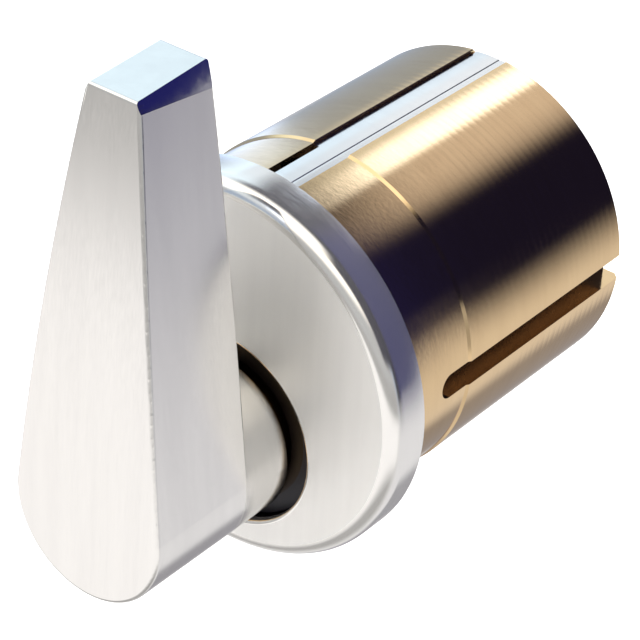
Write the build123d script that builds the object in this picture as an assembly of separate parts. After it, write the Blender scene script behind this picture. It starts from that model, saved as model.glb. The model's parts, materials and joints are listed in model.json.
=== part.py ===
from build123d import *
import math
import os

os.makedirs("parts", exist_ok=True)

# A screw-in mortise cylinder worked by a thumbturn lever. Millimetres throughout.
# Frame: the origin is on the body axis, in the plane of the head's rear (seating) face.
# +Y runs along the body axis to the rear, +Z is up (towards the pin chambers), +X is to the right
# as seen from the front. The lever is in front, at -Y, and the cam is behind, at +Y.

INCH = 25.4

# Shell: head disc, smooth neck and threaded barrel
THREAD_MAJOR_R = 1.150 * INCH / 2
THREAD_PITCH = INCH / 32
THREAD_DEPTH = 0.12
THREAD_GROOVE = 0.26
THREAD_ROOT = 0.06
BODY_LENGTH = 30.16
NECK_R = 14.45
NECK_LENGTH = 8.30
LEAD_IN = 0.26
REAR_CHAMFER = 0.50
HEAD_THICKNESS = 3.90
HEAD_R = 16.60

# Cap pressed over the head
CAP_WALL = 0.70
CAP_FIT = 0.05
CAP_EDGE_FILLET = 0.60
CAP_REAR_GAP = 0.30
CAP_HOLE_R = 8.30
CAP_HOLE_FILLET = 0.35

# Offset plug, its bore and the recess in the head
PLUG_Z = -5.50
PLUG_R = 6.35
PLUG_CLEARANCE = 0.07
PLUG_FRONT_Y = -4.45
PLUG_REAR_Y = 31.20
RECESS_R = 8.50
RECESS_FLOOR_Y = -1.20
PLUG_HEAD_R = 6.95
FRONT_WASHER_THICKNESS = 1.20
FRONT_WASHER_R = 8.30
WASHER_BORE_GAP = 0.12

# Pin chambers under the cover strip
CHAMBER_COUNT = 6
CHAMBER_R = 1.45
CHAMBER_FIRST_Y = 2.00
CHAMBER_SPACING = 0.1562 * INCH
GROOVE_WIDTH = 3.40
GROOVE_FLOOR_Z = 13.35
GROOVE_START_Y = 0.20
COVER_WIDTH = 3.30
COVER_TOP_R = 14.28
COVER_CHAMFER = 0.12
COVER_NOTCH = 0.55
COVER_SCORE_X = 0.90
COVER_SCORE_WIDTH = 0.30
COVER_SCORE_DEPTH = 0.08
COVER_END_GAP = 0.10

# Friction plungers and their springs
PLUNGERS = {"front": 1, "rear": 4}
PLUNGER_R = 1.38
PLUNGER_LENGTH = 4.60
PLUNGER_TIP_GAP = 0.05
SPRING_WIRE_R = 0.22
SPRING_COIL_R = 1.05
SPRING_TURNS = 7
SPRING_END_GAP = 0.05

# Set-screw slots on both sides of the barrel
SLOT_WIDTH = 2.20
SLOT_DEPTH = 1.70
SLOT_FRONT_Y = 5.00

# Thumbturn lever: heights are above the plug axis
LEVER_TOP = 35.35
LEVER_TOP_FALL = 0.55
LEVER_TOP_HALF = 2.40
LEVER_END_R = 7.15
LEVER_SIDE_START = 6.2  # degrees above level where the round end runs into a side
LEVER_BACK_Y = -9.30
LEVER_TOP_THICKNESS = 7.50
LEVER_END_THICKNESS = 10.55
LEVER_FRONT_BULGE = 0.55
LEVER_BEVEL_IN = 0.30
LEVER_BEVEL_BACK = 2.10
LEVER_BEVEL_FRONT = 0.85
LEVER_SIDE_SLOPE = 0.14
LEVER_FRONT_FILLET = 0.30
LEVER_BACK_FILLET = 0.25
BOSS_R = 7.12
BOSS_CHAMFER = 0.15

# Steel spindle that joins the lever to the plug, and the pin that holds it in the boss
SPINDLE_R = 3.00
SPINDLE_FLAT = 2.40
SPINDLE_FRONT_Y = -13.00
SPINDLE_REAR_Y = 10.00
SPINDLE_FIT = 0.03
SPINDLE_CHAMFER = 0.30
SPINDLE_TAP_R = 1.55
SPINDLE_TAP_DEPTH = 7.50
PIN_R = 0.90
PIN_Y = -7.00
PIN_LENGTH = 8.80
PIN_RECESS = 0.20
PIN_FIT = 0.02
PIN_CHAMFER = 0.15

# Screw from behind that holds the spindle in the plug
TURN_SCREW_R = 1.50
TURN_SCREW_SEAT_Y = 16.00
TURN_SCREW_LENGTH = 12.00
TURN_SCREW_HEAD_R = 2.45
TURN_SCREW_HEAD = 2.00
TURN_SCREW_BORE_R = 2.60
TURN_SCREW_HOLE_R = 1.65
TURN_WASHER_THICKNESS = 0.60

# Rear washers, cam and cam screws
REAR_WASHER_R = 8.00
REAR_WASHER_THICKNESS = 0.40
BOWED_WASHER_R = 7.70
BOWED_WASHER_THICKNESS = 0.22
BOWED_WASHER_RISE = 0.28
CAM_HUB_R = 7.90
CAM_THICKNESS = 2.40
CAM_LOBE_R = 15.20
CAM_LOBE_WIDTH = 6.60
CAM_CENTRE_HOLE_R = 2.40
CAM_EDGE_CHAMFER = 0.30
CAM_SCREW_X = 4.25
CAM_SCREW_R = 1.25
CAM_SCREW_HOLE_R = 1.35
CAM_SCREW_LENGTH = 8.00
CAM_SCREW_HEAD_R = 2.25
CAM_SCREW_HEAD = 1.40
CAM_WASHER_THICKNESS = 0.40
SCREW_TAP_FIT = 0.03
DRIVE_SLOT_WIDTH = 0.60
DRIVE_SLOT_DEPTH = 0.60
DRILL_OVERRUN = 1.00


def rod(radius, y_start, y_end, x=0.0, z=0.0):
    """A round bar along Y, from one station to another."""
    middle = (y_start + y_end) / 2
    return Pos(x, middle, z) * Rot(90, 0, 0) * Cylinder(radius, y_end - y_start)


def ring(outer, inner, y_start, y_end, x=0.0, z=0.0):
    """A flat washer whose axis is along Y."""
    bore = rod(inner, y_start - DRILL_OVERRUN, y_end + DRILL_OVERRUN, x, z)
    return rod(outer, y_start, y_end, x, z) - bore


def block(x_size, y_start, y_end, z_start, z_end, x=0.0):
    """A box given by its width about x and its ends along Y and Z."""
    centre = Pos(x, (y_start + y_end) / 2, (z_start + z_end) / 2)
    return centre * Box(x_size, y_end - y_start, z_end - z_start)


def turned(points):
    """A solid turned about the Y axis from (radius, y) points."""
    outline = make_face(Polyline(*points, close=True))
    return revolve(outline, Axis.Y)


def edges_at_y(solid, y):
    """The edges of a solid that lie wholly in the plane of one Y station."""
    return solid.edges().filter_by_position(Axis.Y, y - 0.001, y + 0.001)


def thread_points():
    """Wide crests and fine grooves of the outside thread, front to rear, as (radius, y) points.

    The thread is a row of rings at the real pitch. Its grooves are shallow.
    """
    root = THREAD_MAJOR_R - THREAD_DEPTH
    land_start = NECK_LENGTH + LEAD_IN
    rings = int((BODY_LENGTH - REAR_CHAMFER - land_start) / THREAD_PITCH)
    points = [(THREAD_MAJOR_R, land_start)]
    for number in range(rings):
        middle = land_start + (number + 1 / 2) * THREAD_PITCH
        points.append((THREAD_MAJOR_R, middle - THREAD_GROOVE / 2))
        points.append((root, middle - THREAD_ROOT / 2))
        points.append((root, middle + THREAD_ROOT / 2))
        points.append((THREAD_MAJOR_R, middle + THREAD_GROOVE / 2))
    return points


def cylinder_body():
    """Brass shell: head disc, neck, threaded barrel and everything cut into them."""
    head_r = HEAD_R - CAP_WALL - CAP_FIT
    head_front = CAP_WALL - HEAD_THICKNESS
    corner = CAP_EDGE_FILLET
    profile = [(0, head_front), (head_r - corner, head_front), (head_r, head_front + corner)]
    profile += [(head_r, 0), (NECK_R, 0), (NECK_R, NECK_LENGTH)]
    profile += thread_points()
    profile += [(THREAD_MAJOR_R, BODY_LENGTH - REAR_CHAMFER)]
    profile += [(THREAD_MAJOR_R - REAR_CHAMFER, BODY_LENGTH), (0, BODY_LENGTH)]
    shell = turned(profile)

    shell -= rod(RECESS_R, head_front - DRILL_OVERRUN, RECESS_FLOOR_Y, z=PLUG_Z)
    bore_r = PLUG_R + PLUG_CLEARANCE
    shell -= rod(bore_r, head_front - DRILL_OVERRUN, BODY_LENGTH + DRILL_OVERRUN, z=PLUG_Z)
    shell -= block(GROOVE_WIDTH, GROOVE_START_Y, BODY_LENGTH + DRILL_OVERRUN,
                   GROOVE_FLOOR_Z, THREAD_MAJOR_R + DRILL_OVERRUN)
    for number in range(CHAMBER_COUNT):
        depth = GROOVE_FLOOR_Z + DRILL_OVERRUN - PLUG_Z
        shell -= Pos(0, chamber_y(number), PLUG_Z + depth / 2) * Cylinder(CHAMBER_R, depth)
    for side in (-1, 1):
        shell -= side_slot(side)
    return shell


def chamber_y(number):
    """Station of one pin chamber, counted from the front."""
    return CHAMBER_FIRST_Y + number * CHAMBER_SPACING


def side_slot(side):
    """Cutter for one set-screw slot, round at the front and open at the rear."""
    floor_x = THREAD_MAJOR_R - SLOT_DEPTH
    height = SLOT_DEPTH + DRILL_OVERRUN
    x = side * (floor_x + height / 2)
    half = SLOT_WIDTH / 2
    run = block(height, SLOT_FRONT_Y + half, BODY_LENGTH + DRILL_OVERRUN, -half, half, x=x)
    end = Pos(x, SLOT_FRONT_Y + half, 0) * Rot(0, 90, 0) * Cylinder(half, height)
    return run + end


def face_cap():
    """Satin cap pressed over the head, with the offset hole for the turn."""
    inner_r = HEAD_R - CAP_WALL
    front = -HEAD_THICKNESS
    back = front + CAP_WALL
    cap = rod(HEAD_R, front, -CAP_REAR_GAP)
    cap = fillet(edges_at_y(cap, front), CAP_EDGE_FILLET)
    cap -= rod(inner_r, back, DRILL_OVERRUN)
    cap -= rod(CAP_HOLE_R, front - DRILL_OVERRUN, DRILL_OVERRUN, z=PLUG_Z)
    hole_edge = edges_at_y(cap, front).sort_by(SortBy.RADIUS)[0]
    return fillet(hole_edge, CAP_HOLE_FILLET)


def pin_chamber_cover():
    """Strip that closes the pin chambers.

    Its top follows the barrel's roundness and is scored along its right side; its left side is cut
    back along the neck.
    """
    start = GROOVE_START_Y + COVER_END_GAP
    end = BODY_LENGTH - COVER_END_GAP
    strip = block(COVER_WIDTH, start, end, GROOVE_FLOOR_Z, THREAD_MAJOR_R)
    strip &= rod(COVER_TOP_R, start, end)
    strip = chamfer(strip.edges().filter_by(Axis.Y).group_by(Axis.Z)[-1], COVER_CHAMFER)
    strip -= block(COVER_SCORE_WIDTH, start - DRILL_OVERRUN, end + DRILL_OVERRUN,
                   COVER_TOP_R - COVER_SCORE_DEPTH, THREAD_MAJOR_R, x=COVER_SCORE_X)
    return strip - block(2 * COVER_NOTCH, start - DRILL_OVERRUN, NECK_LENGTH, GROOVE_FLOOR_Z,
                         THREAD_MAJOR_R, x=-COVER_WIDTH / 2)


def friction_plunger(number):
    """Round-nosed plunger that rests on the plug; its nose is cut to the plug's radius."""
    nose_z = PLUG_Z + PLUG_R
    y = chamber_y(number)
    body = Pos(0, y, nose_z + PLUNGER_LENGTH / 2) * Cylinder(PLUNGER_R, PLUNGER_LENGTH)
    saddle = rod(PLUG_R + PLUNGER_TIP_GAP, y - PLUG_R, y + PLUG_R, z=PLUG_Z)
    return body - saddle


def plunger_spring(number):
    """Coil spring between a plunger and the cover strip."""
    low = PLUG_Z + PLUG_R + PLUNGER_LENGTH + SPRING_WIRE_R + SPRING_END_GAP
    high = GROOVE_FLOOR_Z - SPRING_WIRE_R - SPRING_END_GAP
    path = Helix((high - low) / SPRING_TURNS, high - low, SPRING_COIL_R)
    wire = Plane(origin=path @ 0, z_dir=path % 0) * Circle(SPRING_WIRE_R)
    return Pos(0, chamber_y(number), low) * sweep(wire, path=path, is_frenet=True)


def thumbturn_lever():
    """Teardrop lever with its boss, the blind spindle socket and the pin hole."""
    lever = lever_outline() & lever_side()
    front_edges = lever.faces().sort_by(Axis.Y)[0].edges()
    lever = fillet(front_edges, LEVER_FRONT_FILLET)
    back_edges = edges_at_y(lever, LEVER_BACK_Y)
    lever = fillet(back_edges, LEVER_BACK_FILLET)
    lever -= top_bevel(-1) + top_bevel(1)

    boss = rod(BOSS_R, LEVER_BACK_Y - LEVER_BACK_FILLET, PLUG_FRONT_Y, z=PLUG_Z)
    boss = chamfer(edges_at_y(boss, PLUG_FRONT_Y), BOSS_CHAMFER)
    socket = d_shaft(SPINDLE_R + SPINDLE_FIT, SPINDLE_FLAT + SPINDLE_FIT,
                     SPINDLE_FRONT_Y - SPINDLE_FIT, PLUG_FRONT_Y + DRILL_OVERRUN)
    return lever + boss - socket - pin_bore()


def pin_z():
    """Lower end of the spindle pin, just inside the boss's underside."""
    return PLUG_Z - BOSS_R + PIN_RECESS


def pin_bore():
    """Drill for the spindle pin: up through the boss's underside and into the spindle."""
    low = PLUG_Z - BOSS_R - DRILL_OVERRUN
    high = pin_z() + PIN_LENGTH + PIN_FIT
    return Pos(0, PIN_Y, (low + high) / 2) * Cylinder(PIN_R + PIN_FIT, high - low)


def lever_spindle():
    """Steel D-shaped spindle with a tapped rear end and a cross hole for its pin."""
    spindle = d_shaft(SPINDLE_R, SPINDLE_FLAT, SPINDLE_FRONT_Y, SPINDLE_REAR_Y)
    spindle = chamfer(edges_at_y(spindle, SPINDLE_REAR_Y), SPINDLE_CHAMFER)
    tap_start = SPINDLE_REAR_Y - SPINDLE_TAP_DEPTH
    spindle -= rod(SPINDLE_TAP_R, tap_start, SPINDLE_REAR_Y + DRILL_OVERRUN, z=PLUG_Z)
    return spindle - pin_bore()


def spindle_pin():
    """Pin driven up through the boss's underside into the spindle."""
    pin = Pos(0, PIN_Y, pin_z() + PIN_LENGTH / 2) * Cylinder(PIN_R, PIN_LENGTH)
    return chamfer(pin.edges().filter_by(GeomType.CIRCLE), PIN_CHAMFER)


def lever_outline():
    """The lever as seen from the front: a round lower end that runs into bowed sides."""
    rise = math.radians(LEVER_SIDE_START)
    x, z = LEVER_END_R * math.cos(rise), PLUG_Z + LEVER_END_R * math.sin(rise)
    top = PLUG_Z + LEVER_TOP
    right_top, left_top = (LEVER_TOP_HALF, top), (-LEVER_TOP_HALF, top)
    outline = Line(left_top, right_top)
    outline += TangentArc((x, z), right_top, tangent=(-math.sin(rise), math.cos(rise)))
    outline += TangentArc((-x, z), left_top, tangent=(math.sin(rise), math.cos(rise)))
    outline += ThreePointArc((x, z), (0, PLUG_Z - LEVER_END_R), (-x, z))
    face = make_face(Plane.XZ.offset(-LEVER_BACK_Y) * outline)
    return extrude(face, amount=LEVER_END_THICKNESS + DRILL_OVERRUN, dir=(0, -1, 0))


def lever_side():
    """The lever as seen from the side: flat back, bowed front that leans back to a sloping top."""
    top = PLUG_Z + LEVER_TOP
    bottom = PLUG_Z - LEVER_END_R
    top_front = (LEVER_BACK_Y - LEVER_TOP_THICKNESS, top - LEVER_TOP_FALL)
    low_front = (LEVER_BACK_Y - LEVER_END_THICKNESS, bottom)
    middle = ((top_front[0] + low_front[0]) / 2 - LEVER_FRONT_BULGE, (top + bottom) / 2)
    outline = Line((LEVER_BACK_Y, bottom), (LEVER_BACK_Y, top))
    outline += Line((LEVER_BACK_Y, top), top_front)
    outline += ThreePointArc(top_front, middle, low_front)
    outline += Line(low_front, (LEVER_BACK_Y, bottom))
    face = make_face(Plane.YZ.offset(-LEVER_END_R - DRILL_OVERRUN) * outline)
    return extrude(face, amount=2 * (LEVER_END_R + DRILL_OVERRUN), dir=(1, 0, 0))


def top_bevel(side):
    """Wedge that bevels one side edge of the lever's top, deeper towards the back."""
    ends = []
    for share in (-0.1, 1.1):
        top = PLUG_Z + LEVER_TOP - share * LEVER_TOP_FALL
        half = LEVER_TOP_HALF + share * LEVER_TOP_FALL * LEVER_SIDE_SLOPE
        drop = LEVER_BEVEL_BACK + share * (LEVER_BEVEL_FRONT - LEVER_BEVEL_BACK)
        inner = (side * (half - LEVER_BEVEL_IN), top)
        lower = (side * (half + drop * LEVER_SIDE_SLOPE), top - drop)
        outer = (side * 2 * half, top - drop)
        above = (side * 2 * half, top + LEVER_BEVEL_IN)
        crest = (side * (half - LEVER_BEVEL_IN), top + LEVER_BEVEL_IN)
        outline = Polyline(inner, lower, outer, above, crest, close=True)
        ends.append(make_face(Plane.XZ.offset(share * LEVER_TOP_THICKNESS - LEVER_BACK_Y) * outline))
    return loft(ends, ruled=True)


def d_shaft(radius, flat, y_start, y_end):
    """A round shaft on the plug axis with one flat on top."""
    trim = block(4 * radius, y_start, y_end, PLUG_Z + flat, PLUG_Z + 2 * radius)
    return rod(radius, y_start, y_end, z=PLUG_Z) - trim


def plug_head_back_y():
    """Rear face of the plug's head, which rests on the front washer."""
    return RECESS_FLOOR_Y - FRONT_WASHER_THICKNESS


def turn_plug():
    """Brass plug with its head, the spindle socket, the screw bore and two tapped holes."""
    plug = rod(PLUG_R, PLUG_FRONT_Y, PLUG_REAR_Y, z=PLUG_Z)
    plug += rod(PLUG_HEAD_R, PLUG_FRONT_Y, plug_head_back_y(), z=PLUG_Z)
    plug -= d_shaft(SPINDLE_R + SPINDLE_FIT, SPINDLE_FLAT + SPINDLE_FIT,
                    PLUG_FRONT_Y - DRILL_OVERRUN, SPINDLE_REAR_Y + SPINDLE_FIT)
    plug -= rod(TURN_SCREW_HOLE_R, SPINDLE_REAR_Y, TURN_SCREW_SEAT_Y + DRILL_OVERRUN, z=PLUG_Z)
    plug -= rod(TURN_SCREW_BORE_R, TURN_SCREW_SEAT_Y, PLUG_REAR_Y + DRILL_OVERRUN, z=PLUG_Z)
    for side in (-1, 1):
        plug -= rod(CAM_SCREW_R + SCREW_TAP_FIT, PLUG_REAR_Y - CAM_SCREW_LENGTH,
                    PLUG_REAR_Y + DRILL_OVERRUN, x=side * CAM_SCREW_X, z=PLUG_Z)
    return plug


def front_thrust_washer():
    """Acetal washer in the bottom of the head recess, behind the plug's head."""
    inner = PLUG_R + WASHER_BORE_GAP
    return ring(FRONT_WASHER_R, inner, plug_head_back_y(), RECESS_FLOOR_Y, z=PLUG_Z)


def slotted_screw(radius, length, head_r, head, seat_y, x=0.0):
    """A screw that points forward, with its slotted head behind the seat."""
    screw = rod(radius, seat_y - length, seat_y, x, PLUG_Z)
    cap = rod(head_r, seat_y, seat_y + head, x, PLUG_Z)
    cap = fillet(edges_at_y(cap, seat_y + head), head / 4)
    slot = block(2 * head_r + DRILL_OVERRUN, seat_y + head - DRIVE_SLOT_DEPTH, seat_y + head,
                 PLUG_Z - DRIVE_SLOT_WIDTH / 2, PLUG_Z + DRIVE_SLOT_WIDTH / 2, x=x)
    tip = edges_at_y(screw, seat_y - length)
    return chamfer(tip, radius / 4) + (cap - slot)


def turn_screw():
    """Screw that pulls the spindle into the plug."""
    seat = TURN_SCREW_SEAT_Y + TURN_WASHER_THICKNESS
    return slotted_screw(TURN_SCREW_R, TURN_SCREW_LENGTH, TURN_SCREW_HEAD_R, TURN_SCREW_HEAD, seat)


def turn_screw_washer():
    """Washer under the turn screw's head."""
    seat = TURN_SCREW_SEAT_Y
    return ring(TURN_SCREW_HEAD_R, TURN_SCREW_HOLE_R, seat, seat + TURN_WASHER_THICKNESS, z=PLUG_Z)


def rear_thrust_washer():
    """Bronze washer on the rear face of the barrel."""
    inner = PLUG_R + WASHER_BORE_GAP
    end = BODY_LENGTH + REAR_WASHER_THICKNESS
    return ring(REAR_WASHER_R, inner, BODY_LENGTH, end, z=PLUG_Z)


def bowed_spring_washer():
    """Spring washer bent about a vertical axis, between the rear washer and the cam."""
    low = BODY_LENGTH + REAR_WASHER_THICKNESS
    blank = ring(BOWED_WASHER_R, PLUG_R + WASHER_BORE_GAP, low,
                 low + BOWED_WASHER_RISE + BOWED_WASHER_THICKNESS, z=PLUG_Z)
    half = BOWED_WASHER_R
    bend_r = (half ** 2 + BOWED_WASHER_RISE ** 2) / (2 * BOWED_WASHER_RISE)
    centre_y = low + BOWED_WASHER_RISE - bend_r
    tall = 4 * BOWED_WASHER_R
    outer = Pos(0, centre_y, PLUG_Z) * Cylinder(bend_r + BOWED_WASHER_THICKNESS, tall)
    inner = Pos(0, centre_y, PLUG_Z) * Cylinder(bend_r, tall)
    return blank & (outer - inner)


def cam():
    """Cam plate: a round hub and one lobe that points up at rest."""
    front, back = PLUG_REAR_Y, PLUG_REAR_Y + CAM_THICKNESS
    tip_r = CAM_LOBE_WIDTH / 2
    tip_z = PLUG_Z + CAM_LOBE_R - tip_r
    plate = rod(CAM_HUB_R, front, back, z=PLUG_Z)
    plate += block(CAM_LOBE_WIDTH, front, back, PLUG_Z, tip_z)
    plate += rod(tip_r, front, back, z=tip_z)
    plate = chamfer(edges_at_y(plate, back), CAM_EDGE_CHAMFER)
    plate -= rod(CAM_CENTRE_HOLE_R, front - DRILL_OVERRUN, back + DRILL_OVERRUN, z=PLUG_Z)
    for side in (-1, 1):
        plate -= rod(CAM_SCREW_HOLE_R, front - DRILL_OVERRUN, back + DRILL_OVERRUN,
                     x=side * CAM_SCREW_X, z=PLUG_Z)
    return plate


def cam_screw(side):
    """Screw that holds the cam on the plug's rear end."""
    seat = PLUG_REAR_Y + CAM_THICKNESS + CAM_WASHER_THICKNESS
    return slotted_screw(CAM_SCREW_R, CAM_SCREW_LENGTH, CAM_SCREW_HEAD_R, CAM_SCREW_HEAD, seat,
                         x=side * CAM_SCREW_X)


def cam_washer(side):
    """Washer under a cam screw's head."""
    seat = PLUG_REAR_Y + CAM_THICKNESS
    return ring(CAM_SCREW_HEAD_R, CAM_SCREW_HOLE_R, seat, seat + CAM_WASHER_THICKNESS,
                x=side * CAM_SCREW_X, z=PLUG_Z)


def all_nodes():
    """Every sub-part by its node name."""
    nodes = {
        "cylinder_body": cylinder_body(),
        "face_cap": face_cap(),
        "pin_chamber_cover": pin_chamber_cover(),
        "front_thrust_washer": front_thrust_washer(),
        "rear_thrust_washer": rear_thrust_washer(),
        "bowed_spring_washer": bowed_spring_washer(),
        "thumbturn_lever": thumbturn_lever(),
        "lever_spindle": lever_spindle(),
        "spindle_pin": spindle_pin(),
        "turn_plug": turn_plug(),
        "turn_screw": turn_screw(),
        "turn_screw_washer": turn_screw_washer(),
        "cam": cam(),
    }
    for place, number in PLUNGERS.items():
        nodes[f"friction_plunger_{place}"] = friction_plunger(number)
        nodes[f"plunger_spring_{place}"] = plunger_spring(number)
    for place, side in {"left": -1, "right": 1}.items():
        nodes[f"cam_screw_{place}"] = cam_screw(side)
        nodes[f"cam_washer_{place}"] = cam_washer(side)
    return nodes


for node_name, shape in all_nodes().items():
    export_step(shape, f"parts/{node_name}.step")
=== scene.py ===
import json
import math

import bmesh
import bpy
from mathutils import Matrix, Vector


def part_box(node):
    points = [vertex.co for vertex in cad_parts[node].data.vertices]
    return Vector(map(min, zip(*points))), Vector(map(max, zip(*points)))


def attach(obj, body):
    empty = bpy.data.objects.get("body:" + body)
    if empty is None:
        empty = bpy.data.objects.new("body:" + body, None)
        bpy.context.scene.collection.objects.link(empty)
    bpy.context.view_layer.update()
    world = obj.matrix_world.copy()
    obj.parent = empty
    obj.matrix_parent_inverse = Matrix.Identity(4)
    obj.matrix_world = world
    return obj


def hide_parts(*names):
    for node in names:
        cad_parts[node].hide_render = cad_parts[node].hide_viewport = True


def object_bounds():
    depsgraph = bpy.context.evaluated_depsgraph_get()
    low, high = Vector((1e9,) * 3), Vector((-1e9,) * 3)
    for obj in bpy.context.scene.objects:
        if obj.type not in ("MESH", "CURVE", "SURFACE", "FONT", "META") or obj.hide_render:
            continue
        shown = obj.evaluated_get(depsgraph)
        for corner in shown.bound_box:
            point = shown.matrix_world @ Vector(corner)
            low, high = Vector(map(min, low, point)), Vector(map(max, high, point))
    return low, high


# The scene is in metres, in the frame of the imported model: +Y runs to the rear of the cylinder,
# +Z is up and +X is to the right as seen from the front.
MM = 0.001

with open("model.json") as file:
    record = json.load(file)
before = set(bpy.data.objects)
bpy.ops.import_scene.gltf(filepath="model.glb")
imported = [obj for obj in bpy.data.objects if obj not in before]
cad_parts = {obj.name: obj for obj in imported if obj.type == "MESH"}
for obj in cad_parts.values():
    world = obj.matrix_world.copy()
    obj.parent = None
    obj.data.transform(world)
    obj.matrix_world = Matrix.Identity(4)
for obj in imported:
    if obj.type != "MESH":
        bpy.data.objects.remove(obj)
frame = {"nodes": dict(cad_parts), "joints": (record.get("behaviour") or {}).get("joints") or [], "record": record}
cad_low, cad_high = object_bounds()

mounts = {mount["name"]: mount for mount in frame["record"]["mounts"]}
turn_joint = frame["joints"][0]

# ---------------------------------------------------------------- sizes from the frame
THREAD_R = mounts["body_thread"]["dims"]["r_mm"] * MM
PLUG_Z = turn_joint["pos_m"][2]
BODY_LOW, BODY_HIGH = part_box("cylinder_body")
CAP_LOW, CAP_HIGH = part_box("face_cap")
COVER_LOW, COVER_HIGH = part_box("pin_chamber_cover")
PLUNGER_LOW, PLUNGER_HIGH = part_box("friction_plunger_front")
WASHER_REAR_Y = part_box("front_thrust_washer")[1].y
BOSS_REAR_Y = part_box("thumbturn_lever")[1].y

# ---------------------------------------------------------------- lever's finishes
# The top bevels face upwards more than the sides do, and the boss stands at the lever's back.
BEVEL_NORMAL_X = 0.9
BEVEL_NORMAL_Z = 0.25
BOSS_LENGTH = 4.80 * MM

# ---------------------------------------------------------------- shell
THREAD_PITCH = 25.4 / 32 * MM
THREAD_DEPTH = 0.003 * MM
THREAD_RUN_IN_PITCHES = 14
NECK_R = 14.45 * MM
NECK_LENGTH = 8.30 * MM
LEAD_IN = 0.26 * MM
REAR_CHAMFER = 0.50 * MM
HEAD_FILLET = 0.60 * MM
BORE_R = 6.42 * MM
RECESS_R = 8.50 * MM
GROOVE_EDGE_GAP = 0.05 * MM
CHAMBER_R = 1.45 * MM
CHAMBER_COUNT = 6
CHAMBER_SPACING = 0.1562 * 25.4 * MM
SLOT_WIDTH = 2.20 * MM
SLOT_DEPTH = 1.70 * MM
SLOT_FRONT_Y = 5.00 * MM

# ---------------------------------------------------------------- cap
CAP_EDGE = 1.25 * MM
CAP_WALL = 0.70 * MM
CAP_HOLE_R = 8.30 * MM
CAP_HOLE_EDGE = 0.35 * MM
FLAT_FRONT_NORMAL_Y = -0.9999

# ---------------------------------------------------------------- fineness of the meshes
OVERRUN = 1.00 * MM
ROUND_SEGMENTS = 288
ROWS_PER_PITCH = 12
CHAMBER_SEGMENTS = 32
SLOT_END_STEPS = 16
EDGE_STEPS = 10
SHARP_ANGLE = math.radians(25)

# ---------------------------------------------------------------- camera and stage
CAMERA_AZIMUTH = 36.7
CAMERA_ELEVATION = 33.2
CAMERA_ROLL = 3.1
CAMERA_DISTANCE = 203.2 * MM
CAMERA_AIM_RIGHT = 5.0 * MM
CAMERA_AIM_UP = 2.2 * MM
CAMERA_CLIP = 10 * MM
LENS_MM = 145.8
SENSOR_MM = 36.0

FLOOR_DROP = 30 * MM
FLOOR_SIZE = 3.0


def view_axes(azimuth, elevation, roll):
    """Right, up and back directions of a camera at that angle round the object."""
    a, e, r = (math.radians(angle) for angle in (azimuth, elevation, roll))
    back = Vector((math.sin(a) * math.cos(e), -math.cos(a) * math.cos(e), math.sin(e)))
    level = Vector((math.cos(a), math.sin(a), 0))
    upright = back.cross(level)
    right = level * math.cos(r) + upright * math.sin(r)
    up = upright * math.cos(r) - level * math.sin(r)
    return right, up, back


def add_camera():
    right, up, back = view_axes(CAMERA_AZIMUTH, CAMERA_ELEVATION, CAMERA_ROLL)
    aim = right * CAMERA_AIM_RIGHT + up * CAMERA_AIM_UP
    data = bpy.data.cameras.new("camera")
    data.lens = LENS_MM
    data.sensor_width = SENSOR_MM
    data.clip_start = CAMERA_CLIP
    camera = bpy.data.objects.new("camera", data)
    turn = Matrix((right, up, back)).transposed()
    camera.matrix_world = Matrix.Translation(aim + back * CAMERA_DISTANCE) @ turn.to_4x4()
    bpy.context.scene.collection.objects.link(camera)
    bpy.context.scene.camera = camera


def add_softbox(name, place, aim, size, power):
    """A square area light at a place, turned towards a point. It isn't seen or reflected."""
    data = bpy.data.lights.new(name, "AREA")
    data.shape = "SQUARE"
    data.size = size
    data.energy = power
    light = bpy.data.objects.new(name, data)
    light.location = place
    light.rotation_euler = (Vector(aim) - Vector(place)).to_track_quat("-Z", "Y").to_euler()
    light.visible_camera = False
    light.visible_glossy = False
    bpy.context.scene.collection.objects.link(light)


def new_nodes(tree):
    """Empties a node tree and returns short functions that add nodes and links to it."""
    tree.nodes.clear()

    def add(kind, **values):
        node = tree.nodes.new(kind)
        for key, value in values.items():
            if hasattr(node, key):
                setattr(node, key, value)
            else:
                node.inputs[key.replace("_", " ")].default_value = value
        return node

    return add, tree.links.new


# ---------------------------------------------------------------- studio
# Light from each part of the room, in linear red, green and blue.
WALLS = (0.38, 0.47, 0.62)
SIDE_LIGHT = (1.05, 1.35, 1.90)
FRONT_WALL = (0.50, 0.50, 0.50)
DARK_GAP = (0.010, 0.009, 0.030)
NAVY_GAP = (0.016, 0.016, 0.110)
CEILING = (0.76, 0.72, 0.74)
LEFT_CEILING = (0.82, 0.89, 0.95)
LEFT_CEILING_REAR = (1.02, 1.03, 1.04)
LEFT_CEILING_NEAR = (0.87, 1.04, 1.14)
CEILING_EDGE = (1.03, 1.27, 1.42)
HOT_STRIP = (2.30, 2.50, 2.90)
FRONT_SOFTBOX = (1.62, 1.52, 1.35)
TABLE = (0.80, 0.785, 0.79)
TABLE_SHADE = (0.34, 0.33, 0.35)
FRONT_TABLE = (0.42, 0.41, 0.40)
FRONT_TABLE_LIT = (1.07, 1.04, 1.02)
FRONT_TABLE_EDGE = (0.40, 0.39, 0.38)
BACKDROP = (0.93, 0.93, 0.93)


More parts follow.
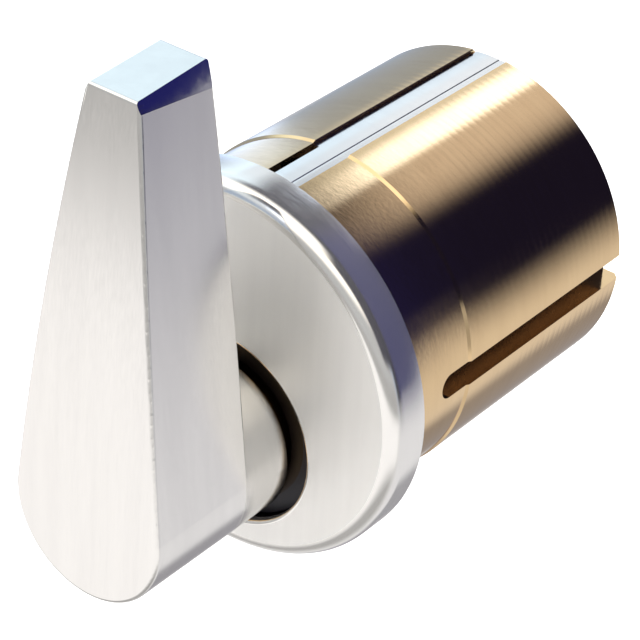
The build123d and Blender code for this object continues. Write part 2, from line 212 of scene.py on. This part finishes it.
def add_world():
    """A soft studio, as a colour for each direction.

    Softboxes overhead and in front, a hot strip, bluish walls, a side light, a dark gap at the right
    rear and a pale table that fades towards its far edge. The camera sees a plain pale backdrop
    instead. x, y and z are the direction: x to the right, y to the rear, z up. Each part fades in
    between the two values of its smooth steps.
    """
    world = bpy.data.worlds.new("studio")
    world.use_nodes = True
    add, link = new_nodes(world.node_tree)
    where = add("ShaderNodeTexCoord")
    split = add("ShaderNodeSeparateXYZ")
    link(where.outputs["Generated"], split.inputs[0])
    x, y, z = split.outputs

    def smooth(socket, low, high):
        step = add("ShaderNodeMapRange", interpolation_type="SMOOTHSTEP")
        step.inputs["From Min"].default_value = low
        step.inputs["From Max"].default_value = high
        link(socket, step.inputs["Value"])
        return step.outputs["Result"]

    def calculate(operation, first, second):
        node = add("ShaderNodeMath", operation=operation)
        for socket, value in zip(node.inputs, (first, second)):
            if isinstance(value, float):
                socket.default_value = value
            else:
                link(value, socket)
        return node.outputs[0]

    def product(*sockets):
        result = sockets[0]
        for socket in sockets[1:]:
            result = calculate("MULTIPLY", result, socket)
        return result

    def layer(under, colour, amount):
        mix = add("ShaderNodeMix", data_type="RGBA")
        link(amount, mix.inputs["Factor"])
        link(under, mix.inputs["A"])
        mix.inputs["B"].default_value = (*colour, 1)
        return mix.outputs["Result"]

    # down is how far a direction dips, and across how far to the right it meets the ceiling.
    down = calculate("MULTIPLY", z, -1.0)
    height = calculate("MAXIMUM", z, 0.05)
    across = calculate("DIVIDE", x, height)
    left = smooth(x, -0.30, -0.50)
    front = smooth(y, 0.20, -0.30)
    high = smooth(z, 0.25, 0.60)
    gap = product(smooth(x, 0.00, 0.30), smooth(y, -0.05, 0.15))

    walls = add("ShaderNodeRGB")
    walls.outputs[0].default_value = (*WALLS, 1)
    side_light = product(left, smooth(y, 0.664, 0.674), smooth(y, 0.694, 0.684), smooth(down, 0.50, 0.20))
    room = layer(walls.outputs[0], SIDE_LIGHT, side_light)
    room = layer(room, FRONT_WALL, front)
    room = layer(room, DARK_GAP, gap)

    # The ceiling: dark in the middle, with its softbox at the rear and the left.
    rear = product(high, smooth(y, 0.692, 0.710))
    near_left = product(smooth(across, -0.05, -0.55), smooth(y, 0.680, 0.694))
    far_left = smooth(across, -0.45, -0.95)
    strip = product(rear, smooth(across, -0.60, -0.34), smooth(across, -0.06, -0.20))
    room = layer(room, DARK_GAP, product(high, smooth(y, -0.20, 0.10)))
    room = layer(room, CEILING, product(rear, smooth(across, 0.90, 0.12)))
    room = layer(room, LEFT_CEILING, product(high, calculate("MAXIMUM", near_left, far_left)))
    room = layer(room, LEFT_CEILING_REAR, product(high, far_left, smooth(y, 0.690, 0.715)))
    room = layer(room, LEFT_CEILING_NEAR, product(high, far_left, smooth(y, 0.66, 0.62)))
    room = layer(room, CEILING_EDGE, product(high, smooth(across, -1.08, -1.24)))
    room = layer(room, HOT_STRIP, strip)
    room = layer(room, FRONT_SOFTBOX, product(high, front))

    # The gap also covers the right end of the front softbox, and is navy next to the ceiling's rear.
    front_gap = product(smooth(x, 0.25, 0.50), smooth(y, -0.60, -0.40), smooth(z, 0.02, 0.15))
    room = layer(room, DARK_GAP, front_gap)
    room = layer(room, NAVY_GAP, product(gap, smooth(y, 0.30, 0.50), smooth(y, 0.700, 0.685)))

    # The table fades in below the horizon: sooner in one narrow band, later before it and at the right.
    band = product(smooth(y, 0.686, 0.694), smooth(y, 0.706, 0.696))
    lower_right = product(smooth(x, 0.712, 0.728), smooth(down, 0.24, 0.16))
    reach = calculate("ADD", down, calculate("MULTIPLY", band, 0.20))
    reach = calculate("ADD", reach, calculate("MULTIPLY", smooth(y, 0.690, 0.676), -0.09))
    reach = calculate("ADD", reach, calculate("MULTIPLY", lower_right, -0.15))
    beyond_left = product(left, smooth(y, 0.50, 0.66), smooth(down, 0.62, 0.20))
    table = calculate("SUBTRACT", smooth(reach, 0.0, 0.45), beyond_left)
    shaded = product(smooth(x, 0.30, 0.12), smooth(x, -0.50, -0.20), smooth(y, 0.10, 0.45))
    room = layer(room, TABLE, calculate("MAXIMUM", table, 0.0))
    room = layer(room, TABLE_SHADE, product(shaded, smooth(down, 0.30, 0.60)))
    room = layer(room, FRONT_TABLE, product(front, smooth(down, 0.0, 0.20)))
    room = layer(room, FRONT_TABLE_LIT, product(front, smooth(down, 0.295, 0.425)))
    room = layer(room, FRONT_TABLE_EDGE, product(front, smooth(down, 0.64, 0.84)))

    rays = add("ShaderNodeLightPath")
    shown = layer(room, BACKDROP, rays.outputs["Is Camera Ray"])
    background = add("ShaderNodeBackground")
    link(shown, background.inputs["Color"])
    output = add("ShaderNodeOutputWorld")
    link(background.outputs[0], output.inputs[0])
    bpy.context.scene.world = world


# ---------------------------------------------------------------- materials
# Scales of the noise along X, Y and Z, for each metre: a small number stretches it that way.
TURNED = (900.0, 9000.0, 900.0)
UPRIGHT = (9000.0, 9000.0, 500.0)
EVEN = (4000.0, 4000.0, 4000.0)
BLOTCHES = (260.0, 260.0, 260.0)
STREAKS = (520.0, 520.0, 30.0)
BANDS = (120.0, 700.0, 120.0)
MOTTLE_SCALE = 2600.0
PLASTIC_SCALE = 3000.0
PAPER_SCALE = 900.0

CHROME = (0.92, 0.91, 0.89)


def start_material(name):
    """A new material with a Principled shader; returns the shader and its add and link functions."""
    material = bpy.data.materials.new(name)
    material.use_nodes = True
    add, link = new_nodes(material.node_tree)
    shader = add("ShaderNodeBsdfPrincipled")
    output = add("ShaderNodeOutputMaterial")
    link(shader.outputs[0], output.inputs[0])
    return material, shader, add, link


def metal(name, colour, dark, roughness, grain, grain_depth, patch, mottle=0.0, metallic=1.0):
    """A metal with directional grain, patches of another tone and some variation in its gloss.

    grain and patch are the scales of the two noises. grain_depth is the height of the grain, and
    mottle that of a coarser unevenness, in metres.
    """
    material, shader, add, link = start_material(name)
    shader.inputs["Metallic"].default_value = metallic
    where = add("ShaderNodeTexCoord")

    stretch = add("ShaderNodeMapping")
    stretch.inputs["Scale"].default_value = grain
    link(where.outputs["Object"], stretch.inputs["Vector"])
    lines = add("ShaderNodeTexNoise", Scale=1.0, Detail=3.0, Roughness=0.6)
    link(stretch.outputs[0], lines.inputs["Vector"])

    spread_out = add("ShaderNodeMapping")
    spread_out.inputs["Scale"].default_value = patch
    link(where.outputs["Object"], spread_out.inputs["Vector"])
    patches = add("ShaderNodeTexNoise", Scale=1.0, Detail=4.0, Roughness=0.55)
    link(spread_out.outputs[0], patches.inputs["Vector"])
    spread = add("ShaderNodeMapRange", From_Min=0.35, From_Max=0.70, To_Max=0.35)
    link(patches.outputs["Fac"], spread.inputs["Value"])

    mix = add("ShaderNodeMix", data_type="RGBA")
    mix.inputs["A"].default_value = (*colour, 1)
    mix.inputs["B"].default_value = (*dark, 1)
    link(spread.outputs["Result"], mix.inputs["Factor"])
    link(mix.outputs["Result"], shader.inputs["Base Color"])

    gloss = add("ShaderNodeMapRange", From_Min=0.3, From_Max=0.7,
                To_Min=roughness * 0.8, To_Max=roughness * 1.25)
    link(lines.outputs["Fac"], gloss.inputs["Value"])
    link(gloss.outputs["Result"], shader.inputs["Roughness"])

    bump = add("ShaderNodeBump", Strength=0.5, Distance=grain_depth)
    link(lines.outputs["Fac"], bump.inputs["Height"])
    link(bump.outputs[0], shader.inputs["Normal"])
    if mottle:
        dents = add("ShaderNodeTexNoise", Scale=MOTTLE_SCALE, Detail=2.0, Roughness=0.5)
        link(where.outputs["Object"], dents.inputs["Vector"])
        uneven = add("ShaderNodeBump", Strength=1.0, Distance=mottle)
        link(dents.outputs["Fac"], uneven.inputs["Height"])
        link(uneven.outputs[0], bump.inputs["Normal"])
    return material


def plastic(name, colour, roughness):
    """A moulded plastic with a fine grain."""
    material, shader, add, link = start_material(name)
    where = add("ShaderNodeTexCoord")
    grain = add("ShaderNodeTexNoise", Scale=PLASTIC_SCALE, Detail=2.0)
    link(where.outputs["Object"], grain.inputs["Vector"])
    tone = add("ShaderNodeMix", data_type="RGBA")
    tone.inputs["A"].default_value = (*colour, 1)
    tone.inputs["B"].default_value = (*(channel * 1.8 for channel in colour), 1)
    link(grain.outputs["Fac"], tone.inputs["Factor"])
    link(tone.outputs["Result"], shader.inputs["Base Color"])
    shader.inputs["Roughness"].default_value = roughness
    bump = add("ShaderNodeBump", Strength=0.3, Distance=0.02 * MM)
    link(grain.outputs["Fac"], bump.inputs["Height"])
    link(bump.outputs[0], shader.inputs["Normal"])
    return material


def floor_material():
    """Pale matt paper."""
    material, shader, add, link = start_material("floor_paper")
    where = add("ShaderNodeTexCoord")
    fibres = add("ShaderNodeTexNoise", Scale=PAPER_SCALE, Detail=3.0)
    link(where.outputs["Object"], fibres.inputs["Vector"])
    tone = add("ShaderNodeMix", data_type="RGBA")
    tone.inputs["A"].default_value = (0.90, 0.90, 0.90, 1)
    tone.inputs["B"].default_value = (0.93, 0.93, 0.93, 1)
    link(fibres.outputs["Fac"], tone.inputs["Factor"])
    link(tone.outputs["Result"], shader.inputs["Base Color"])
    shader.inputs["Roughness"].default_value = 0.9
    shader.inputs["Specular IOR Level"].default_value = 0.1
    return material


MATERIALS = {
    "brass": metal(
        "brass_turned", (0.86, 0.63, 0.36), (0.74, 0.52, 0.29), 0.10, TURNED, 3e-7, BANDS, mottle=1.2e-6),
    # Slot walls: milled brass, with its colour darkened far below brass as painted shade in the slots.
    "milled_brass_painted_shade": metal(
        "milled_brass_painted_shade", (0.15, 0.095, 0.07), (0.09, 0.06, 0.045), 0.32, EVEN, 1e-6, BLOTCHES),
    # Near-black brass: painted shade on the walls of the head's recess and of the cover strip's channel.
    "brass_painted_shade": metal(
        "brass_painted_shade", (0.035, 0.03, 0.04), (0.02, 0.02, 0.03), 0.45, EVEN, 1e-6, BLOTCHES),
    "satin_chrome": metal(
        "satin_chrome", CHROME, (0.80, 0.79, 0.78), 0.19, UPRIGHT, 8e-8, STREAKS),
    # The boss's turned finish. Its tone is a little darker than the lever's chrome as painted shade between lever
    # and cap.
    "satin_turned_painted_shade": metal(
        "satin_turned_painted_shade", (0.80, 0.79, 0.77), (0.70, 0.69, 0.67), 0.19, TURNED, 8e-8, BANDS),
    "satin_face": metal(
        "satin_face", CHROME, (0.78, 0.77, 0.76), 0.42, UPRIGHT, 2e-7, STREAKS, metallic=0.65),
    "polished_bevel": metal(
        "polished_bevel", (0.90, 0.90, 0.92), (0.84, 0.84, 0.88), 0.08, TURNED, 4e-8, BANDS),
    "polished_rim": metal(
        "polished_rim", CHROME, (0.82, 0.81, 0.80), 0.12, TURNED, 4e-8, BANDS, metallic=0.90),
    "pale_metal": metal(
        "pale_metal", (0.93, 0.93, 0.92), (0.84, 0.84, 0.85), 0.16, TURNED, 3e-7, BANDS),
    "bronze": metal(
        "bronze", (0.70, 0.45, 0.25), (0.45, 0.27, 0.14), 0.35, EVEN, 1e-6, BLOTCHES),
    "spring_steel": metal(
        "spring_steel", (0.62, 0.62, 0.64), (0.4, 0.4, 0.42), 0.25, EVEN, 1e-6, BLOTCHES),
    "zinc_steel": metal(
        "zinc_steel", (0.72, 0.73, 0.75), (0.52, 0.54, 0.58), 0.32, EVEN, 1e-6, BLOTCHES),
    "cam_steel": metal(
        "cam_steel", (0.68, 0.69, 0.70), (0.48, 0.49, 0.52), 0.34, UPRIGHT, 1e-6, STREAKS),
    "black_acetal": plastic("black_acetal", (0.006, 0.006, 0.014), 0.5),
}


def paint_nodes():
    """Gives every CAD node the material of its slot."""
    for sub in frame["record"]["subparts"]:
        node = frame["nodes"][sub["node"]]
        node.data.materials.clear()
        node.data.materials.append(MATERIALS[sub["material_slot"]])


def finish_lever():
    """Adds a polished finish on the lever's top bevels and a turned one on its boss, whose darker tone is painted
    shade.
    """
    lever = frame["nodes"]["thumbturn_lever"].data
    for name in ("polished_bevel", "satin_turned_painted_shade"):
        lever.materials.append(MATERIALS[name])
    for face in lever.polygons:
        # The boss takes the darker turned finish, which is painted shade.
        if face.center.y > BOSS_REAR_Y - BOSS_LENGTH:
            face.material_index = 2
        elif abs(face.normal.x) > BEVEL_NORMAL_X and face.normal.z > BEVEL_NORMAL_Z:
            face.material_index = 1


# ---------------------------------------------------------------- mesh work
def finished_object(mesh, name):
    """Turns a bmesh into an object with its normals outwards."""
    bmesh.ops.recalc_face_normals(mesh, faces=mesh.faces)
    data = bpy.data.meshes.new(name)
    mesh.to_mesh(data)
    mesh.free()
    piece = bpy.data.objects.new(name, data)
    bpy.context.scene.collection.objects.link(piece)
    return piece


def groove_depth(y, turn):
    """Depth of the right-hand thread's rounded groove at a station and a share of a turn."""
    phase = y / THREAD_PITCH - turn
    return THREAD_DEPTH * (0.5 + 0.5 * math.cos(2 * math.pi * phase)) ** 2


def turned_solid(rows, name, axis_z=0.0):
    """Rings about an axis at that height, closed by two flat ends.

    Each row is (y, radius, share of the thread's depth).
    """
    mesh = bmesh.new()
    rings = []
    for y, radius, share in rows:
        points = []
        for step in range(ROUND_SEGMENTS):
            turn = step / ROUND_SEGMENTS
            r = radius - share * groove_depth(y, turn)
            angle = 2 * math.pi * turn
            points.append(mesh.verts.new((r * math.sin(angle), y, axis_z + r * math.cos(angle))))
        rings.append(points)
    for near, far in zip(rings, rings[1:]):
        for step in range(ROUND_SEGMENTS):
            after = (step + 1) % ROUND_SEGMENTS
            mesh.faces.new((near[step], near[after], far[after], far[step]))
    mesh.faces.new(rings[0])
    mesh.faces.new(rings[-1])
    return finished_object(mesh, name)


def prism(outline, start, end, name):
    """A solid with that outline, a list of points, swept from a start to an end offset."""
    mesh = bmesh.new()
    near = [mesh.verts.new(Vector(point) + Vector(start)) for point in outline]
    far = [mesh.verts.new(Vector(point) + Vector(end)) for point in outline]
    mesh.faces.new(near)
    mesh.faces.new(far)
    for index in range(len(outline)):
        after = (index + 1) % len(outline)
        mesh.faces.new((near[index], near[after], far[after], far[index]))
    return finished_object(mesh, name)


def round_outline(radius, centre, side, up, segments):
    """Points of a circle about a centre, in the plane of two directions."""
    points = []
    for step in range(segments):
        angle = 2 * math.pi * step / segments
        across = Vector(side) * math.cos(angle) + Vector(up) * math.sin(angle)
        points.append(Vector(centre) + across * radius)
    return points


def combine(target, tool, operation):
    """Applies an exact boolean to the target and removes the tool."""
    modifier = target.modifiers.new("cut", "BOOLEAN")
    modifier.solver = "EXACT"
    modifier.operation = operation
    modifier.object = tool
    graph = bpy.context.evaluated_depsgraph_get()
    result = bpy.data.meshes.new_from_object(target.evaluated_get(graph))
    target.modifiers.clear()
    target.data = result
    bpy.data.objects.remove(tool)


def smooth_piece(piece, finishes):
    """Shades a piece smooth between its sharp edges and gives it the named materials."""
    piece.data.shade_smooth()
    piece.data.set_sharp_from_angle(angle=SHARP_ANGLE)
    for name in finishes:
        piece.data.materials.append(MATERIALS[name])


# ---------------------------------------------------------------- threaded brass shell
def shell_rows():
    """(y, radius, share of the thread's depth) from the head's front to the rear face."""
    head_r = BODY_HIGH.x
    thread_start = NECK_LENGTH + LEAD_IN
    thread_end = BODY_HIGH.y - REAR_CHAMFER
    rows = [(BODY_LOW.y, head_r - HEAD_FILLET, 0), (BODY_LOW.y + HEAD_FILLET, head_r, 0), (0, head_r, 0)]
    rows += [(0, NECK_R, 0), (NECK_LENGTH, NECK_R, 0)]
    count = round((thread_end - thread_start) / THREAD_PITCH * ROWS_PER_PITCH)
    for number in range(count + 1):
        share = min(1, number / ROWS_PER_PITCH / THREAD_RUN_IN_PITCHES) ** 2
        rows.append((thread_start + (thread_end - thread_start) * number / count, THREAD_R, share))
    rows.append((BODY_HIGH.y, THREAD_R - REAR_CHAMFER, 0))
    return rows


def bore_cutter(radius, start, end):
    """The plug's bore, or the wider recess in front of it."""
    outline = round_outline(radius, (0, 0, PLUG_Z), (1, 0, 0), (0, 0, 1), ROUND_SEGMENTS // 2)
    return prism(outline, (0, start, 0), (0, end, 0), "bore_cutter")


def chamber_cutter(y):
    """One pin chamber, from the plug up through the cover strip's channel."""
    outline = round_outline(CHAMBER_R, (0, y, 0), (1, 0, 0), (0, 1, 0), CHAMBER_SEGMENTS)
    return prism(outline, (0, 0, PLUG_Z), (0, 0, THREAD_R), "chamber_cutter")


def groove_cutter():
    """Channel for the cover strip, a little wider than the strip itself."""
    half = COVER_HIGH.x + GROOVE_EDGE_GAP
    low, high = COVER_LOW.z, THREAD_R + OVERRUN
    outline = [(-half, 0, low), (half, 0, low), (half, 0, high), (-half, 0, high)]
    start = COVER_LOW.y - 2 * GROOVE_EDGE_GAP
    return prism(outline, (0, start, 0), (0, BODY_HIGH.y + OVERRUN, 0), "groove_cutter")


def slot_cutter(side):
    """Set-screw slot: round at the front, open at the rear."""
    half = SLOT_WIDTH / 2
    floor = side * (THREAD_R - SLOT_DEPTH)
    rear = BODY_HIGH.y + OVERRUN
    outline = [(0, rear, half), (0, rear, -half)]
    for step in range(SLOT_END_STEPS + 1):
        angle = math.pi * step / SLOT_END_STEPS
        outline.append((0, SLOT_FRONT_Y + half - half * math.sin(angle), -half * math.cos(angle)))
    return prism(outline, (floor, 0, 0), (side * (THREAD_R + OVERRUN), 0, 0), "slot_cutter")


def shell_finish(point):
    """Material index of a face: 1 in the slots, 2 in the head's recess and the channel, or else 0. The brasses for
    1 and 2 are darkened as painted shade.
    """
    if point.y < WASHER_REAR_Y and math.hypot(point.x, point.z - PLUG_Z) < RECESS_R + GROOVE_EDGE_GAP:
        return 2
    inside = math.hypot(point.x, point.z) < NECK_R - GROOVE_EDGE_GAP
    if not inside or not 0 < point.y < BODY_HIGH.y:
        return 0
    if abs(point.z) < SLOT_WIDTH / 2 + GROOVE_EDGE_GAP:
        return 1
    return 2 if point.z > COVER_LOW.z - GROOVE_EDGE_GAP else 0


def brass_shell():
    """Head, neck and threaded barrel with the bore, recess, channel, chambers and slots."""
    shell = turned_solid(shell_rows(), "brass_shell")
    cutter = bore_cutter(BORE_R, BODY_LOW.y - OVERRUN, BODY_HIGH.y + OVERRUN)
    combine(cutter, bore_cutter(RECESS_R, BODY_LOW.y - OVERRUN, WASHER_REAR_Y), "UNION")
    combine(cutter, groove_cutter(), "UNION")
    first_y = (PLUNGER_LOW.y + PLUNGER_HIGH.y) / 2 - CHAMBER_SPACING
    for number in range(CHAMBER_COUNT):
        combine(cutter, chamber_cutter(first_y + number * CHAMBER_SPACING), "UNION")
    for side in (-1, 1):
        combine(cutter, slot_cutter(side), "UNION")
    combine(shell, cutter, "DIFFERENCE")
    smooth_piece(shell, ("brass", "milled_brass_painted_shade", "brass_painted_shade"))
    # The slots, the recess and the channel take the darkened brasses, which are painted shade.
    for face in shell.data.polygons:
        face.material_index = shell_finish(face.center)
    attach(shell, "cylinder")
    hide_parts("cylinder_body")


# ---------------------------------------------------------------- face cap
def rounded_edge(radius, size):
    """Rows from the cap's front face back along a rounded edge.

    With a positive size the front is the wider end, as at the hole, and with a negative one the
    narrower end, as at the rim.
    """
    rows = []
    for step in range(EDGE_STEPS + 1):
        angle = math.pi / 2 * step / EDGE_STEPS
        y = CAP_LOW.y + abs(size) * (1 - math.cos(angle))
        rows.append((y, radius + size * (1 - math.sin(angle)), 0))
    return rows


def cap_hole_cutter():
    """The offset hole, which widens into a rounded mouth at the front."""
    rows = [(CAP_LOW.y - OVERRUN, CAP_HOLE_R + CAP_HOLE_EDGE, 0)]
    rows += rounded_edge(CAP_HOLE_R, CAP_HOLE_EDGE)
    rows.append((CAP_HIGH.y + OVERRUN, CAP_HOLE_R, 0))
    return turned_solid(rows, "cap_hole_cutter", PLUG_Z)


def cap_cavity():
    """The room inside the cap for the head."""
    inside = CAP_HIGH.x - CAP_WALL
    rows = [(CAP_LOW.y + CAP_WALL, inside, 0), (CAP_HIGH.y + OVERRUN, inside, 0)]
    return turned_solid(rows, "cap_cavity")


def cap_shell():
    """Pressed cap over the head, with a softly brushed front and a polished rim."""
    rim = [(CAP_HIGH.y, CAP_HIGH.x, 0)]
    cap = turned_solid(rounded_edge(CAP_HIGH.x, -CAP_EDGE) + rim, "cap_shell")
    combine(cap, cap_cavity(), "DIFFERENCE")
    combine(cap, cap_hole_cutter(), "DIFFERENCE")
    smooth_piece(cap, ("polished_rim", "satin_face"))
    for face in cap.data.polygons:
        flat = face.normal.y < FLAT_FRONT_NORMAL_Y
        face.use_smooth = not flat
        face.material_index = int(flat)
    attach(cap, "cylinder")
    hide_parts("face_cap")


# ---------------------------------------------------------------- stage
def add_floor():
    mesh = bpy.data.meshes.new("floor")
    half = FLOOR_SIZE / 2
    z = cad_low.z - FLOOR_DROP
    corners = [(-half, -half, z), (half, -half, z), (half, half, z), (-half, half, z)]
    mesh.from_pydata(corners, [], [(0, 1, 2, 3)])
    mesh.materials.append(floor_material())
    floor = bpy.data.objects.new("floor", mesh)
    bpy.context.scene.collection.objects.link(floor)
    floor.visible_glossy = False


paint_nodes()
finish_lever()
brass_shell()
cap_shell()
add_floor()
add_camera()
add_world()
add_softbox("overhead", place=(-0.15, 0.25, 0.60), aim=(0, 0.03, 0), size=0.60, power=7.0)
add_softbox("front_fill", place=(-0.45, -0.45, 0.35), aim=(0, 0, 0), size=0.50, power=2.5)
bpy.context.scene.view_settings.view_transform = "Standard"
